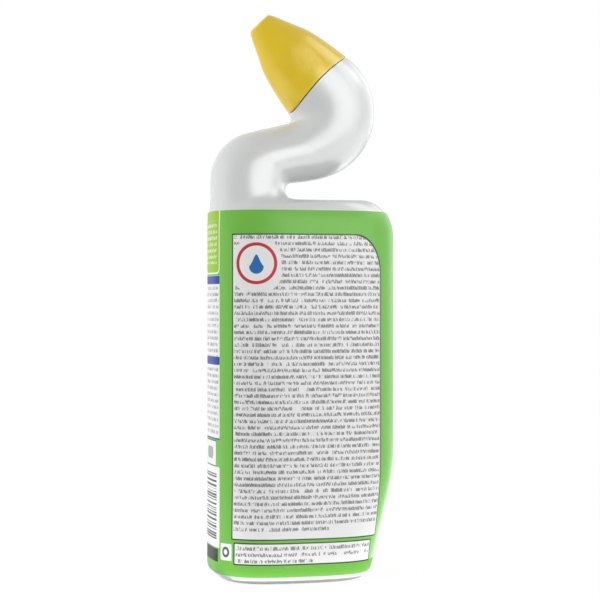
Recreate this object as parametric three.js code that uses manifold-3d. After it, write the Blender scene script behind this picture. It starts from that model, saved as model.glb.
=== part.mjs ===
// Toilet cleaner bottle with a swan neck, built in three.js.
// Millimetres, +Z up. The origin is the middle of the bottle's foot, X runs along the broad
// face and the neck leans over towards -X, so the cap points up and to -X.
import * as THREE from 'three';
import { mergeVertices } from 'three/addons/utils/BufferGeometryUtils.js';
import Module from 'manifold-3d';

const wasm = await Module();
wasm.setup();

// Body of the bottle
const BODY_WIDTH = 85.6;
const BODY_DEPTH = 61;
const BODY_SQUARENESS = 3;        // exponent of the plan's superellipse, 2 is an ellipse
const SHOULDER_HEIGHT = 178.3;    // flat top of the shoulder, under the neck
const SHOULDER_CORNER_WIDTH = 14;
const SHOULDER_CORNER_HEIGHT = 17;
const SHOULDER_HALF_DEPTH = 21;   // half depth where the shoulder meets the neck
const TAPER_HEIGHT = 49;          // the +X edge draws in below this height
const TAPER_SLOPE = 0.257;
const TAPER_SOFTNESS = 3;
const HEEL_RADIUS = 7.5;
const FOOT_WIDTH = 4;             // flat ring that the bottle stands on
const PUSH_UP = 3;                // how far the middle of the base is domed in
const WALL = 1;

// Swan neck. Reaches are counted from the body's -X edge, rises from the top of the shoulder.
const NECK_WIDTH = 34.6;          // at the crotch, between the shoulder and the first bend
const CROTCH_RADIUS = 4.2;
const CROTCH_END = 100;           // degrees round the crotch where the underside starts
const CROTCH_HALF_DEPTH = 19;
const FIRST_BEND_RADIUS = 22.6;
const FIRST_BEND_RISE = 9.8;      // of the bend's centre
const FIRST_BEND_SPLIT = 134;     // degrees round the bend, opposite the end of the crotch
const FIRST_BEND_END = 104;       // degrees round the bend where the straight run starts
const NECK_HALF_DEPTH = 18;
const RUN_SPLIT = 0.75;           // share of the straight run that lies opposite the underside
const UNDERSIDE_SHARE = 0.7;      // where between the crotch and the elbow the underside sags
const UNDERSIDE_SAG = 1.2;
const ELBOW_REACH = 47;           // of the elbow's centre
const ELBOW_RISE = 42.3;
const ELBOW_START = -72;          // degrees
const CORNER_TUCK = 1.8;          // from the end of the straight run to the cap's rim, along X
const CORNER_GAP = 5.3;           // and along Z
const CORNER_SWEEP = 3;           // how far the corner swings out under the rim
const CORNER_LOW = 0.8;
const CORNER_HIGH = 2;
const SHOULDER_SQUARENESS = 2.4;
const CROTCH_SQUARENESS = 2.1;
const ROUND_SQUARENESS = 2;

// Cap, its axis and what it screws on. Stations along the axis start at the rim's plane.
const CAP_REACH = 51.4;           // of the middle of the rim
const CAP_RISE = 55.2;
const CAP_ANGLE = 45;             // degrees above the horizontal
const CAP_RADIUS = 19.2;
const CAP_LENGTH = 40.4;
const CAP_WALL = 1.3;
const CAP_END_WALL = 1.6;
const CAP_EDGE = 1.3;             // rounding at the flat end
const RIM_ARCH = 3.3;             // the rim rises this much on the two broad sides
const ARCH_LEVEL = 12;            // above this station the arch has died out
const RIM_OVERHANG = 0.1;         // of the cap over the neck
const SKIRT_WALL = 1.2;
const SKIRT_START = 4;
const SKIRT_END = 15.5;
const SKIRT_ROOF = 3;             // solid shoulder between the skirt and the cone
const FINISH_RADIUS = 12.5;       // the bottle's threaded mouth
const FINISH_HEIGHT = 16;
const BORE_RADIUS = 10.5;
const LIP_EDGE = 0.4;
const THREAD_HEIGHT = 1.1;
const THREAD_PITCH = 4.5;
const THREAD_TURNS = 1.6;
const THREAD_START = 3.6;
const THREAD_FLANK = 0.9;         // width of each sloping flank
const THREAD_MARGIN = 1.6;        // plain wall kept below and above the thread
const LEDGE_SHARE = 0.4;          // the ledge steps in this far from the mouth to the rim
const LEDGE_WALL = 1.5;

// Nozzle insert and sealing disc
const NOZZLE_WALL = 1.2;
const NOZZLE_DEPTH = 12;          // how far the barrel plugs into the bore
const FLANGE_THICKNESS = 1.2;
const SNOUT_ROOT_RADIUS = 8;
const SNOUT_TIP_RADIUS = 3.5;
const SNOUT_EDGE = 0.5;
const SNOUT_HOLE_DEPTH = 3;       // length of the narrow jet hole
const BARREL_ROOT = 2;            // height over which the barrel widens from the snout
const SEAL_RADIUS = 5.5;
const SEAL_THICKNESS = 1.5;

// Printed sleeve and contents
const FILM = 0.3;
const SLEEVE_BOTTOM = 4;
const SLEEVE_DROP = 5.8;          // from the top of the shoulder to the sleeve's upper edge
const FILL_RISE = 17.7;           // the gel stands this far above the shoulder

const GAP = 0.3;                  // running clearance between touching pieces
const POINTS = 32;                // points round each ring

const radians = THREE.MathUtils.degToRad;
const lerp = THREE.MathUtils.lerp;
const point = (x, z) => new THREE.Vector2(x, z);

const bodyLeft = -BODY_WIDTH / 2;
const cornerMiddle = point(BODY_WIDTH / 2 - SHOULDER_CORNER_WIDTH, SHOULDER_HEIGHT - SHOULDER_CORNER_HEIGHT);
const sleeveTop = SHOULDER_HEIGHT - SLEEVE_DROP;
const fillHeight = SHOULDER_HEIGHT + FILL_RISE;

// Frame of the cap: base, axis, the direction across it in the XZ plane, and Y
const capBase = new THREE.Vector3(bodyLeft + CAP_REACH, 0, SHOULDER_HEIGHT + CAP_RISE);
const capAxis = new THREE.Vector3(-Math.cos(radians(CAP_ANGLE)), 0, Math.sin(radians(CAP_ANGLE)));
const capAcross = new THREE.Vector3(capAxis.z, 0, -capAxis.x);
const capSide = new THREE.Vector3(0, 1, 0);
const rimRadius = CAP_RADIUS - RIM_OVERHANG;

const archAt = (angle) => RIM_ARCH * Math.sin(angle) ** 2;

function ring(place) {
  return Array.from({ length: POINTS }, (_, i) => place((2 * Math.PI * i) / POINTS));
}

// Round ring about the cap's axis; station and radius may vary with the angle
function axisRing(radiusAt, stationAt) {
  return ring((angle) => capBase.clone()
    .addScaledVector(capAxis, stationAt(angle))
    .addScaledVector(capAcross, radiusAt(angle) * Math.cos(angle))
    .addScaledVector(capSide, radiusAt(angle) * Math.sin(angle)));
}

const plainRing = (radius, station) => axisRing(() => radius, () => station);

// Superellipse between two points of the XZ plane
function section(left, right, halfDepth, squareness) {
  const rounded = (value) => Math.sign(value) * Math.abs(value) ** (2 / squareness);
  return ring((angle) => {
    const share = (1 + rounded(Math.cos(angle))) / 2;
    const y = halfDepth * rounded(Math.sin(angle));
    return new THREE.Vector3(lerp(left.x, right.x, share), y, lerp(left.y, right.y, share));
  });
}

// Closed skin through a row of rings. Open rows end in a fan round a middle point;
// a looped row joins its last ring to its first.
function loft(rings, looped = false) {
  const vertices = rings.flat();
  const faces = [];
  const at = (row, i) => (row % rings.length) * POINTS + (i % POINTS);
  const rows = looped ? rings.length : rings.length - 1;
  for (let row = 0; row < rows; row += 1) {
    for (let i = 0; i < POINTS; i += 1) {
      faces.push(at(row, i), at(row, i + 1), at(row + 1, i + 1));
      faces.push(at(row, i), at(row + 1, i + 1), at(row + 1, i));
    }
  }
  if (!looped) {
    const middle = (row) => row.reduce((sum, v) => sum.add(v), new THREE.Vector3()).divideScalar(POINTS);
    const first = vertices.push(middle(rings[0])) - 1;
    const last = vertices.push(middle(rings[rings.length - 1])) - 1;
    for (let i = 0; i < POINTS; i += 1) {
      faces.push(first, at(0, i + 1), at(0, i));
      faces.push(last, at(rings.length - 1, i), at(rings.length - 1, i + 1));
    }
  }
  const geometry = new THREE.BufferGeometry().setFromPoints(vertices);
  geometry.setIndex(faces);
  return geometry;
}

// The same rings moved along the skin's normals, outwards for a positive distance
function offsetRings(rings, distance) {
  return rings.map((row, j) => row.map((v, i) => {
    const round = row[(i + 1) % POINTS].clone().sub(row[(i + POINTS - 1) % POINTS]);
    const above = rings[Math.min(j + 1, rings.length - 1)][i];
    const below = rings[Math.max(j - 1, 0)][i];
    const normal = round.cross(above.clone().sub(below)).normalize();
    return v.clone().addScaledVector(normal, distance);
  }));
}

// X of the +X edge at a height: drawn in below the taper, rounded off at the shoulder
function bodyRight(height) {
  const below = (TAPER_HEIGHT - height) / TAPER_SOFTNESS;
  const drawnIn = TAPER_SLOPE * TAPER_SOFTNESS * Math.log(1 + Math.exp(below));
  const up = Math.max(0, height - cornerMiddle.y) / SHOULDER_CORNER_HEIGHT;
  const rounded = SHOULDER_CORNER_WIDTH * (1 - Math.sqrt(1 - up * up));
  return BODY_WIDTH / 2 - drawnIn - rounded;
}

// The broad sides have come half of the way in when the corner reaches the shoulder's top
function bodyHalfDepth(height) {
  const up = Math.max(0, height - cornerMiddle.y) / SHOULDER_CORNER_HEIGHT;
  return lerp(BODY_DEPTH / 2, SHOULDER_HALF_DEPTH, up ** 2 / 2);
}

// How far the rounded heel stands in from the wall at a height
function heelInset(height) {
  const below = Math.max(0, HEEL_RADIUS - height);
  return HEEL_RADIUS - Math.sqrt(HEEL_RADIUS ** 2 - below ** 2);
}

function bodyRing(height, inset = heelInset(height)) {
  const left = point(bodyLeft + inset, height);
  const right = point(bodyRight(height) - inset, height);
  return section(left, right, bodyHalfDepth(height) - inset, BODY_SQUARENESS);
}

// Domed base, standing ring and rounded heel
function baseRings() {
  const inner = HEEL_RADIUS + FOOT_WIDTH;
  const dome = [[inner + 3 * PUSH_UP, PUSH_UP], [inner + PUSH_UP, PUSH_UP * 0.75], [inner, 0]];
  const heel = [0, 22, 44].map((turn) => [
    HEEL_RADIUS * (1 - Math.sin(radians(turn))),
    HEEL_RADIUS * (1 - Math.cos(radians(turn))),
  ]);
  return [...dome, ...heel].map(([inset, height]) => {
    const row = bodyRing(HEEL_RADIUS, inset);
    row.forEach((v) => { v.z = height; });
    return row;
  });
}

// Level rings of the wall that the sleeve covers: heel, taper, straight stretch and shoulder
function wallRings() {
  const heights = [
    ...[0, 0.5, 1].map((share) => lerp(SLEEVE_BOTTOM, HEEL_RADIUS, share)),
    ...[-8, -2.7, -0.8, 0.8, 2.7].map((steps) => TAPER_HEIGHT + steps * TAPER_SOFTNESS),
    ...[0.5, 1].map((share) => lerp(TAPER_HEIGHT, cornerMiddle.y, share)),
    ...[0.3, 0.55, 0.8, 1].map((share) => lerp(cornerMiddle.y, sleeveTop, share)),
  ];
  return heights.map((height) => bodyRing(height));
}

const onCircle = (middle, radius, degrees) => point(
  middle.x + radius * Math.cos(radians(degrees)),
  middle.y + radius * Math.sin(radians(degrees)),
);

// Rails of the swan neck in the XZ plane: each span has a left and a right rail, and its
// rings run from one to the other
function neckSpans() {
  const bendMiddle = point(bodyLeft + FIRST_BEND_RADIUS, SHOULDER_HEIGHT + FIRST_BEND_RISE);
  const crotchMiddle = point(bodyLeft + NECK_WIDTH + CROTCH_RADIUS, SHOULDER_HEIGHT + CROTCH_RADIUS);
  const elbowMiddle = point(bodyLeft + ELBOW_REACH, SHOULDER_HEIGHT + ELBOW_RISE);
  const capLeft = point(capBase.x - rimRadius * capAcross.x, capBase.z - rimRadius * capAcross.z);
  const capRight = point(capBase.x + rimRadius * capAcross.x, capBase.z + rimRadius * capAcross.z);
  const elbowRadius = capRight.distanceTo(elbowMiddle);
  const elbowEnd = Math.atan2(capRight.y - elbowMiddle.y, capRight.x - elbowMiddle.x);
  const crotchTop = onCircle(crotchMiddle, CROTCH_RADIUS, CROTCH_END);
  const elbowStart = onCircle(elbowMiddle, elbowRadius, ELBOW_START);
  const underside = crotchTop.clone().lerp(elbowStart, UNDERSIDE_SHARE).sub(point(0, UNDERSIDE_SAG));
  const bendEnd = onCircle(bendMiddle, FIRST_BEND_RADIUS, FIRST_BEND_END);
  const runEnd = capLeft.clone().sub(point(CORNER_TUCK, CORNER_GAP));
  const runSplit = bendEnd.clone().lerp(runEnd, RUN_SPLIT);

  const levelTurn = Math.asin((sleeveTop - cornerMiddle.y) / SHOULDER_CORNER_HEIGHT);
  const shoulder = {
    rings: 7,
    left: new THREE.Path().moveTo(bodyLeft, sleeveTop).lineTo(bodyLeft, bendMiddle.y),
    right: new THREE.Path().absellipse(cornerMiddle.x, cornerMiddle.y, SHOULDER_CORNER_WIDTH,
      SHOULDER_CORNER_HEIGHT, levelTurn, Math.PI / 2, false).lineTo(crotchMiddle.x, SHOULDER_HEIGHT),
  };
  const crotch = {
    rings: 6,
    left: new THREE.Path().absarc(bendMiddle.x, bendMiddle.y, FIRST_BEND_RADIUS, Math.PI,
      radians(FIRST_BEND_SPLIT), true),
    right: new THREE.Path().absarc(crotchMiddle.x, crotchMiddle.y, CROTCH_RADIUS,
      1.5 * Math.PI, radians(CROTCH_END), true),
  };
  const reach = {
    rings: 5,
    left: new THREE.Path().absarc(bendMiddle.x, bendMiddle.y, FIRST_BEND_RADIUS, radians(FIRST_BEND_SPLIT),
      radians(FIRST_BEND_END), true).lineTo(runSplit.x, runSplit.y),
    right: new THREE.Path().moveTo(crotchTop.x, crotchTop.y)
      .quadraticCurveTo(underside.x, underside.y, elbowStart.x, elbowStart.y),
  };
  const elbow = {
    rings: 14,
    left: new THREE.Path().moveTo(runSplit.x, runSplit.y).lineTo(runEnd.x, runEnd.y)
      .bezierCurveTo(runEnd.x + CORNER_SWEEP, runEnd.y + CORNER_LOW,
        runEnd.x + CORNER_SWEEP, runEnd.y + CORNER_HIGH, capLeft.x, capLeft.y),
    right: new THREE.Path().absarc(elbowMiddle.x, elbowMiddle.y, elbowRadius, radians(ELBOW_START),
      elbowEnd, false),
  };
  return { shoulder, crotch, reach, elbow };
}

function neckRings() {
  const { shoulder, crotch, reach, elbow } = neckSpans();
  const plan = [
    { span: shoulder, depth: [bodyHalfDepth(sleeveTop), SHOULDER_HALF_DEPTH],
      square: [BODY_SQUARENESS, SHOULDER_SQUARENESS] },
    { span: crotch, depth: [SHOULDER_HALF_DEPTH, CROTCH_HALF_DEPTH],
      square: [SHOULDER_SQUARENESS, CROTCH_SQUARENESS] },
    { span: reach, depth: [CROTCH_HALF_DEPTH, NECK_HALF_DEPTH], square: [CROTCH_SQUARENESS, ROUND_SQUARENESS] },
    { span: elbow, depth: [NECK_HALF_DEPTH, rimRadius], square: [ROUND_SQUARENESS, ROUND_SQUARENESS] },
  ];
  const rows = [];
  plan.forEach(({ span, depth, square }) => {
    for (let step = 1; step <= span.rings; step += 1) {
      const share = step / span.rings;
      rows.push(section(span.left.getPointAt(share), span.right.getPointAt(share),
        lerp(...depth, share), lerp(...square, share)));
    }
  });
  return bowTopRings(rows);
}

// The last rings rise on the broad sides to meet the arched rim of the cap
function bowTopRings(rows) {
  const bowed = 5;
  return rows.map((row, j) => {
    const share = Math.max(0, j - rows.length + 1 + bowed) / bowed;
    const rise = (angle) => archAt(angle) * share ** 2 - GAP * share;
    return row.map((v, i) => v.clone().addScaledVector(capAxis, rise((2 * Math.PI * i) / POINTS)));
  });
}

// Threaded mouth: ledge under the cap's rim, screw thread as a raised helix, lip
function finishRings() {
  const threadAt = (station) => (angle) => {
    const turn = angle / (2 * Math.PI);
    const laps = Array.from({ length: Math.ceil(THREAD_TURNS) + 1 }, (_, lap) => turn + lap);
    const climb = laps.filter((lap) => lap <= THREAD_TURNS);
    const nearest = Math.min(...climb.map((lap) => Math.abs(station - THREAD_START - lap * THREAD_PITCH)));
    return FINISH_RADIUS + THREAD_HEIGHT * THREE.MathUtils.clamp(1.5 - nearest / THREAD_FLANK, 0, 1);
  };
  const ledge = axisRing(
    () => lerp(FINISH_RADIUS, rimRadius, LEDGE_SHARE),
    (angle) => LEDGE_SHARE * archAt(angle) - GAP,
  );
  const rows = [ledge, plainRing(FINISH_RADIUS, -GAP)];
  const first = THREAD_START - THREAD_MARGIN;
  const last = THREAD_START + THREAD_PITCH * THREAD_TURNS + THREAD_MARGIN;
  const steps = 13;
  for (let step = 0; step <= steps; step += 1) {
    const station = lerp(first, last, step / steps);
    rows.push(axisRing(threadAt(station), () => station));
  }
  rows.push(plainRing(FINISH_RADIUS, FINISH_HEIGHT - LIP_EDGE));
  rows.push(plainRing(FINISH_RADIUS - LIP_EDGE, FINISH_HEIGHT));
  return rows;
}

// Mouth's bore and the underside of the ledge, where the wall is thicker
function boreRings() {
  const under = -GAP - LEDGE_WALL;
  const belowLedge = (angle) => archAt(angle) + under;
  return [
    plainRing(BORE_RADIUS, FINISH_HEIGHT),
    plainRing(BORE_RADIUS, 0),
    plainRing(FINISH_RADIUS, under),
    axisRing(() => rimRadius - LEDGE_WALL, belowLedge),
  ];
}

const skinRings = [...baseRings(), ...wallRings(), ...neckRings()];

function bottle() {
  const inside = offsetRings(skinRings, -WALL).slice(0, -1).reverse();
  return loft([...skinRings, ...finishRings(), ...boreRings(), ...inside]);
}

function sleeve() {
  const covered = wallRings();
  const inner = offsetRings(covered, GAP);
  const outer = offsetRings(covered, GAP + FILM);
  [inner, outer].forEach((rows) => {
    rows[0].forEach((v) => { v.z = SLEEVE_BOTTOM; });
    rows[rows.length - 1].forEach((v) => { v.z = sleeveTop; });
  });
  return loft([...outer, ...inner.reverse()], true);
}

// Solid of manifold-3d from a closed geometry, and back
function toSolid(geometry) {
  const merged = mergeVertices(geometry);
  const vertProperties = new Float32Array(merged.attributes.position.array);
  const triVerts = new Uint32Array(merged.index.array);
  return new wasm.Manifold(new wasm.Mesh({ numProp: 3, vertProperties, triVerts }));
}

function toGeometry(solid) {
  const { vertProperties, triVerts } = solid.getMesh();
  const geometry = new THREE.BufferGeometry();
  geometry.setAttribute('position', new THREE.BufferAttribute(vertProperties, 3));
  geometry.setIndex(new THREE.BufferAttribute(triVerts, 1));
  return geometry;
}

// Contents: the inside of the wall up to the level of the liquid. The loft goes on to the
// first ring that is clear of the level and is cut there.
function gel() {
  const rows = offsetRings(skinRings, -WALL - GAP);
  const clear = rows.findIndex((row) => row.every((v) => v.z > fillHeight));
  const above = new THREE.BoxGeometry(2 * BODY_WIDTH, 2 * BODY_WIDTH, SHOULDER_HEIGHT);
  above.deleteAttribute('normal');
  above.deleteAttribute('uv');
  above.translate(0, 0, fillHeight + SHOULDER_HEIGHT / 2);
  return toGeometry(toSolid(loft(rows.slice(0, clear + 1))).subtract(toSolid(above)));
}

// Outline of the cap: shares of its radius and of its length
const capProfile = new THREE.SplineCurve([
  [1, 0], [0.912, 0.2475], [0.768, 0.53], [0.572, 0.7426], [0.432, 0.891], [0.345, 0.976],
].map(([out, up]) => point(CAP_RADIUS * out, CAP_LENGTH * up)));
const capSamples = capProfile.getPoints(80);
const capShoulder = capSamples[capSamples.length - 1];

function capRadiusAt(station) {
  const next = capSamples.findIndex((sample) => sample.y >= station);
  if (next < 0) return capShoulder.x;
  if (next === 0) return CAP_RADIUS;
  const [low, high] = [capSamples[next - 1], capSamples[next]];
  return lerp(low.x, high.x, (station - low.y) / (high.y - low.y));
}

// Ring of the cap's wall: arched at the rim, level from ARCH_LEVEL up
function capRing(station, wall) {
  const stationAt = (angle) => station + archAt(angle) * Math.max(0, 1 - station / ARCH_LEVEL);
  return axisRing((angle) => capRadiusAt(stationAt(angle)) - wall, stationAt);
}

// Stations in equal steps from a first to a last
function stations(first, last, count) {
  return Array.from({ length: count }, (_, i) => lerp(first, last, i / (count - 1)));
}

function cap() {
  const outer = stations(0, capShoulder.y, 13).map((station) => capRing(station, 0));
  const end = plainRing(capShoulder.x - CAP_EDGE, CAP_LENGTH);
  const innerEnd = CAP_LENGTH - CAP_END_WALL;
  const skirtInner = FINISH_RADIUS + THREAD_HEIGHT + GAP;
  const skirtOuter = skirtInner + SKIRT_WALL;
  const inner = stations(0, ARCH_LEVEL, 3).map((station) => capRing(station, CAP_WALL));
  const groove = plainRing((skirtOuter + capRadiusAt(SKIRT_END) - CAP_WALL) / 2, SKIRT_END);
  const skirt = [
    plainRing(skirtOuter, SKIRT_END - SKIRT_WALL / 2),
    plainRing(skirtOuter, SKIRT_START),
    plainRing(skirtInner, SKIRT_START),
    plainRing(skirtInner, SKIRT_END + SKIRT_ROOF),
  ];
  const cavity = stations(SKIRT_END + 2 * SKIRT_ROOF, innerEnd, 6)
    .map((station) => plainRing(capRadiusAt(station) - CAP_WALL, station));
  return loft([...cavity.reverse(), ...skirt.reverse(), groove, ...inner.reverse(), ...outer, end]);
}

// Revolved piece, its closed profile placed on the cap's axis
function turned(profile) {
  const geometry = new THREE.LatheGeometry(profile.map(([radius, station]) => point(radius, station)), 32);
  const frame = new THREE.Matrix4().makeBasis(capAcross, capAxis, capSide.clone().negate());
  geometry.applyMatrix4(frame.setPosition(capBase));
  return geometry;
}

const sealEnd = CAP_LENGTH - CAP_END_WALL - GAP;
const snoutEnd = sealEnd - SEAL_THICKNESS - GAP;

function nozzle() {
  const barrel = BORE_RADIUS - GAP;
  const seat = FINISH_HEIGHT + GAP;
  const top = seat + FLANGE_THICKNESS;
  const flange = FINISH_RADIUS - RIM_OVERHANG;
  return turned([
    [barrel - NOZZLE_WALL, seat - NOZZLE_DEPTH],
    [barrel, seat - NOZZLE_DEPTH],
    [barrel, seat],
    [flange, seat],
    [flange, top],
    [SNOUT_ROOT_RADIUS, top],
    [SNOUT_TIP_RADIUS, snoutEnd - 2 * SNOUT_EDGE],
    [SNOUT_TIP_RADIUS - SNOUT_EDGE, snoutEnd],
    [SNOUT_TIP_RADIUS - NOZZLE_WALL, snoutEnd],
    [SNOUT_TIP_RADIUS - NOZZLE_WALL, snoutEnd - SNOUT_HOLE_DEPTH],
    [SNOUT_ROOT_RADIUS - NOZZLE_WALL, seat],
    [barrel - NOZZLE_WALL, seat - BARREL_ROOT],
    [barrel - NOZZLE_WALL, seat - NOZZLE_DEPTH],
  ]);
}

function capSeal() {
  const start = sealEnd - SEAL_THICKNESS;
  return turned([[0, start], [SEAL_RADIUS, start], [SEAL_RADIUS, sealEnd], [0, sealEnd]]);
}

const finishes = {
  white: new THREE.MeshStandardMaterial({ name: 'white_polyethylene', color: '#e9ebea', roughness: 0.38 }),
  sleeve: new THREE.MeshStandardMaterial({ name: 'printed_film', color: '#6fb647', roughness: 0.3 }),
  gel: new THREE.MeshStandardMaterial({ name: 'green_gel', color: '#3fae6a', roughness: 0.1 }),
  natural: new THREE.MeshStandardMaterial({ name: 'natural_polyethylene', color: '#eef0ee', roughness: 0.45 }),
  foam: new THREE.MeshStandardMaterial({ name: 'seal_foam', color: '#f4f4f2', roughness: 0.8 }),
  yellow: new THREE.MeshStandardMaterial({ name: 'yellow_polypropylene', color: '#e6c83a', roughness: 0.4 }),
};

function piece(name, geometry, material) {
  const mesh = new THREE.Mesh(geometry, material);
  mesh.name = name;
  return mesh;
}

const group = new THREE.Group();
group.add(
  piece('bottle', bottle(), finishes.white),
  piece('sleeve', sleeve(), finishes.sleeve),
  piece('gel', gel(), finishes.gel),
  piece('nozzle', nozzle(), finishes.natural),
  piece('cap_seal', capSeal(), finishes.foam),
  piece('cap', cap(), finishes.yellow),
);

export default group;
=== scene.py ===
# %% [markdown]
# # A toilet cleaner bottle with a swan neck
# The bottle is dressed here for a studio photograph. The engineering model is the frame: it fixes
# every size and place, and this script lays finer skins and finishes over it. Everything is in the
# frame's own coordinates: Z up, X along the broad face, and the cap leaning up and towards -X.

# %% The frame
import math

import bmesh
import bpy
import numpy as np
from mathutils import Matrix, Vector


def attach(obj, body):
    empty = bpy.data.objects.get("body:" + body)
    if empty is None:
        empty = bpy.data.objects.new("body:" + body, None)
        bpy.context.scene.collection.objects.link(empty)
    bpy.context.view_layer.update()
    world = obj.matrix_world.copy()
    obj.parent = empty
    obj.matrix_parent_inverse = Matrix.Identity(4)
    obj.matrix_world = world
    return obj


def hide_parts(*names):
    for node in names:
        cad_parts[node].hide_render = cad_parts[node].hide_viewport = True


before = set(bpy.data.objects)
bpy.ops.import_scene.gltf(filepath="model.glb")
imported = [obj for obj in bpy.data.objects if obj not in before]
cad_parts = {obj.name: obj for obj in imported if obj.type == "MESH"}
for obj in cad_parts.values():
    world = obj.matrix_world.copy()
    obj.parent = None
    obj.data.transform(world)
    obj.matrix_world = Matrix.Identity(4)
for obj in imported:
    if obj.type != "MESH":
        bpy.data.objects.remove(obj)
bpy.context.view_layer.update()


def placed(name, data):
    """An object made of this data and put in the scene."""
    piece = bpy.data.objects.new(name, data)
    bpy.context.collection.objects.link(piece)
    return piece


# %% [markdown]
# The camera stands level with the bottle's middle, a little left of its broad face. A long lens from
# far off keeps the edges nearly parallel. Angle and distance follow from how tall the bottle stands
# in the picture and how much of its narrow side shows.

# %% The camera
VIEW_TURN = math.radians(14.2)
CAMERA_DISTANCE = 0.857
CAMERA_HEIGHT = 0.1311
toward = Vector((math.sin(VIEW_TURN), math.cos(VIEW_TURN), 0))
camera = placed("camera", bpy.data.cameras.new("camera"))
camera.location = -toward * CAMERA_DISTANCE + Vector((0, 0, CAMERA_HEIGHT))
camera.rotation_euler = toward.to_track_quat("-Z", "Y").to_euler()
camera.data.sensor_width = 36
camera.data.lens = 108
bpy.context.scene.camera = camera
print("camera at", camera.location)

# %% [markdown]
# Every skin here is a loft: rings of points, stacked along a path and joined by four-sided faces.
# A subdivided cage could look alike, but a blow-moulded bottle is one wall whose section changes
# all the way up, and that is what a loft draws.
# Sizes are written in millimetres, as on a drawing, and become metres only when a mesh is made.

# %% Helpers for rings
MM = 0.001
AROUND = 144
ANGLES = np.arange(AROUND) * 2 * math.pi / AROUND


def blend(low, high, share):
    """The value a share of the way from low to high."""
    return low + (high - low) * share


def section(left, right, half_depth, squareness):
    """Superellipse between two points of the XZ plane; squareness 2 is an ellipse."""
    power = 2 / squareness
    across = np.sign(np.cos(ANGLES)) * np.abs(np.cos(ANGLES)) ** power
    deep = np.sign(np.sin(ANGLES)) * np.abs(np.sin(ANGLES)) ** power
    share = (1 + across) / 2
    x = blend(left[0], right[0], share)
    z = blend(left[1], right[1], share)
    return np.stack([x, half_depth * deep, z], axis=1)


def moved_out(rings, distance):
    """The same rings moved along the skin's normals."""
    rings = np.asarray(rings)
    round_it = np.roll(rings, -1, axis=1) - np.roll(rings, 1, axis=1)
    upward = np.gradient(rings, axis=0)
    normals = np.cross(round_it, upward)
    normals /= np.linalg.norm(normals, axis=2, keepdims=True)
    return rings + normals * distance


print("points round each ring:", AROUND)

# %% [markdown]
# Shading is smooth over gentle bends and sharp where two faces meet at more than an angle, as at a
# rim or a step. One angle serves every piece.

# %% Helper that turns rings into a mesh
SHARP_EDGE = math.radians(38)


def skin(name, rings, looped=False):
    """A mesh through the rings: looped on itself, or closed by a fan at both ends."""
    rings = [np.asarray(ring) for ring in rings]
    points = np.concatenate(rings)
    rows = len(rings)
    faces = []
    for row in range(rows if looped else rows - 1):
        low = row * AROUND
        high = (row + 1) % rows * AROUND
        for i in range(AROUND):
            after = (i + 1) % AROUND
            faces.append((low + i, low + after, high + after, high + i))
    if not looped:
        points = np.concatenate([points, [rings[0].mean(axis=0), rings[-1].mean(axis=0)]])
        last = (rows - 1) * AROUND
        for i in range(AROUND):
            after = (i + 1) % AROUND
            faces.append((rows * AROUND, after, i))
            faces.append((rows * AROUND + 1, last + i, last + after))
    mesh = bpy.data.meshes.new(name)
    mesh.from_pydata((points * MM).tolist(), [], faces)
    mesh.shade_smooth()
    mesh.set_sharp_from_angle(angle=SHARP_EDGE)
    print(name, len(mesh.polygons), "faces")
    return placed(name, mesh)


# %% [markdown]
# The body is a flat oval, nearly a rounded rectangle in plan, which a superellipse draws well. Its
# right edge draws in near the foot and rounds over at the shoulder. The sizes repeat the engineering
# model's own, so the fine skin lies on the solid one.

# %% Sizes of the body
GAP = 0.3  # the clearance that keeps two pieces apart
WALL = 1.0
BODY_WIDTH = 85.6
BODY_DEPTH = 61.0
BODY_SQUARENESS = 3.0
SHOULDER_HEIGHT = 178.3
SHOULDER_CORNER_WIDTH = 14.0  # the right shoulder is a quarter of an ellipse
SHOULDER_CORNER_HEIGHT = 17.0
SHOULDER_HALF_DEPTH = 21.0
TAPER_HEIGHT = 49.0  # the right edge draws in below this
TAPER_SLOPE = 0.257
TAPER_SOFTNESS = 3.0
BODY_LEFT = -BODY_WIDTH / 2
CORNER_X = BODY_WIDTH / 2 - SHOULDER_CORNER_WIDTH
CORNER_Z = SHOULDER_HEIGHT - SHOULDER_CORNER_HEIGHT
HEEL_RADIUS = 7.5
FOOT_WIDTH = 4.0  # the ring that the bottle stands on
PUSH_UP = 3.0  # the base is domed up by this
SLEEVE_BOTTOM = 4.0
SLEEVE_DROP = 5.8
SLEEVE_TOP = SHOULDER_HEIGHT - SLEEVE_DROP


# %% One ring of the body
def up_the_corner(height):
    """How far up the shoulder's rounded corner a height is, from 0 to 1."""
    return max(0.0, height - CORNER_Z) / SHOULDER_CORNER_HEIGHT


def body_right(height):
    """Where the right edge stands at a height."""
    below = (TAPER_HEIGHT - height) / TAPER_SOFTNESS
    drawn_in = TAPER_SLOPE * TAPER_SOFTNESS * math.log(1 + math.exp(below))
    rounded = SHOULDER_CORNER_WIDTH * (1 - math.sqrt(1 - up_the_corner(height) ** 2))
    return BODY_WIDTH / 2 - drawn_in - rounded


def body_half_depth(height):
    """The broad sides have come half of the way in when the corner reaches its top."""
    return blend(BODY_DEPTH / 2, SHOULDER_HALF_DEPTH, up_the_corner(height) ** 2 / 2)


def heel_inset(height):
    """How far the rounded heel stands in from the wall at a height."""
    below = max(0.0, HEEL_RADIUS - height)
    return HEEL_RADIUS - math.sqrt(HEEL_RADIUS**2 - below**2)


def body_ring(height, inset=None):
    """The body's outline at a height, drawn in by the heel's inset or by a given one."""
    inset = heel_inset(height) if inset is None else inset
    left = (BODY_LEFT + inset, height)
    right = (body_right(height) - inset, height)
    return section(left, right, body_half_depth(height) - inset, BODY_SQUARENESS)


print("right edge at the heel:", round(body_right(HEEL_RADIUS), 1), "mm")

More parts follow.
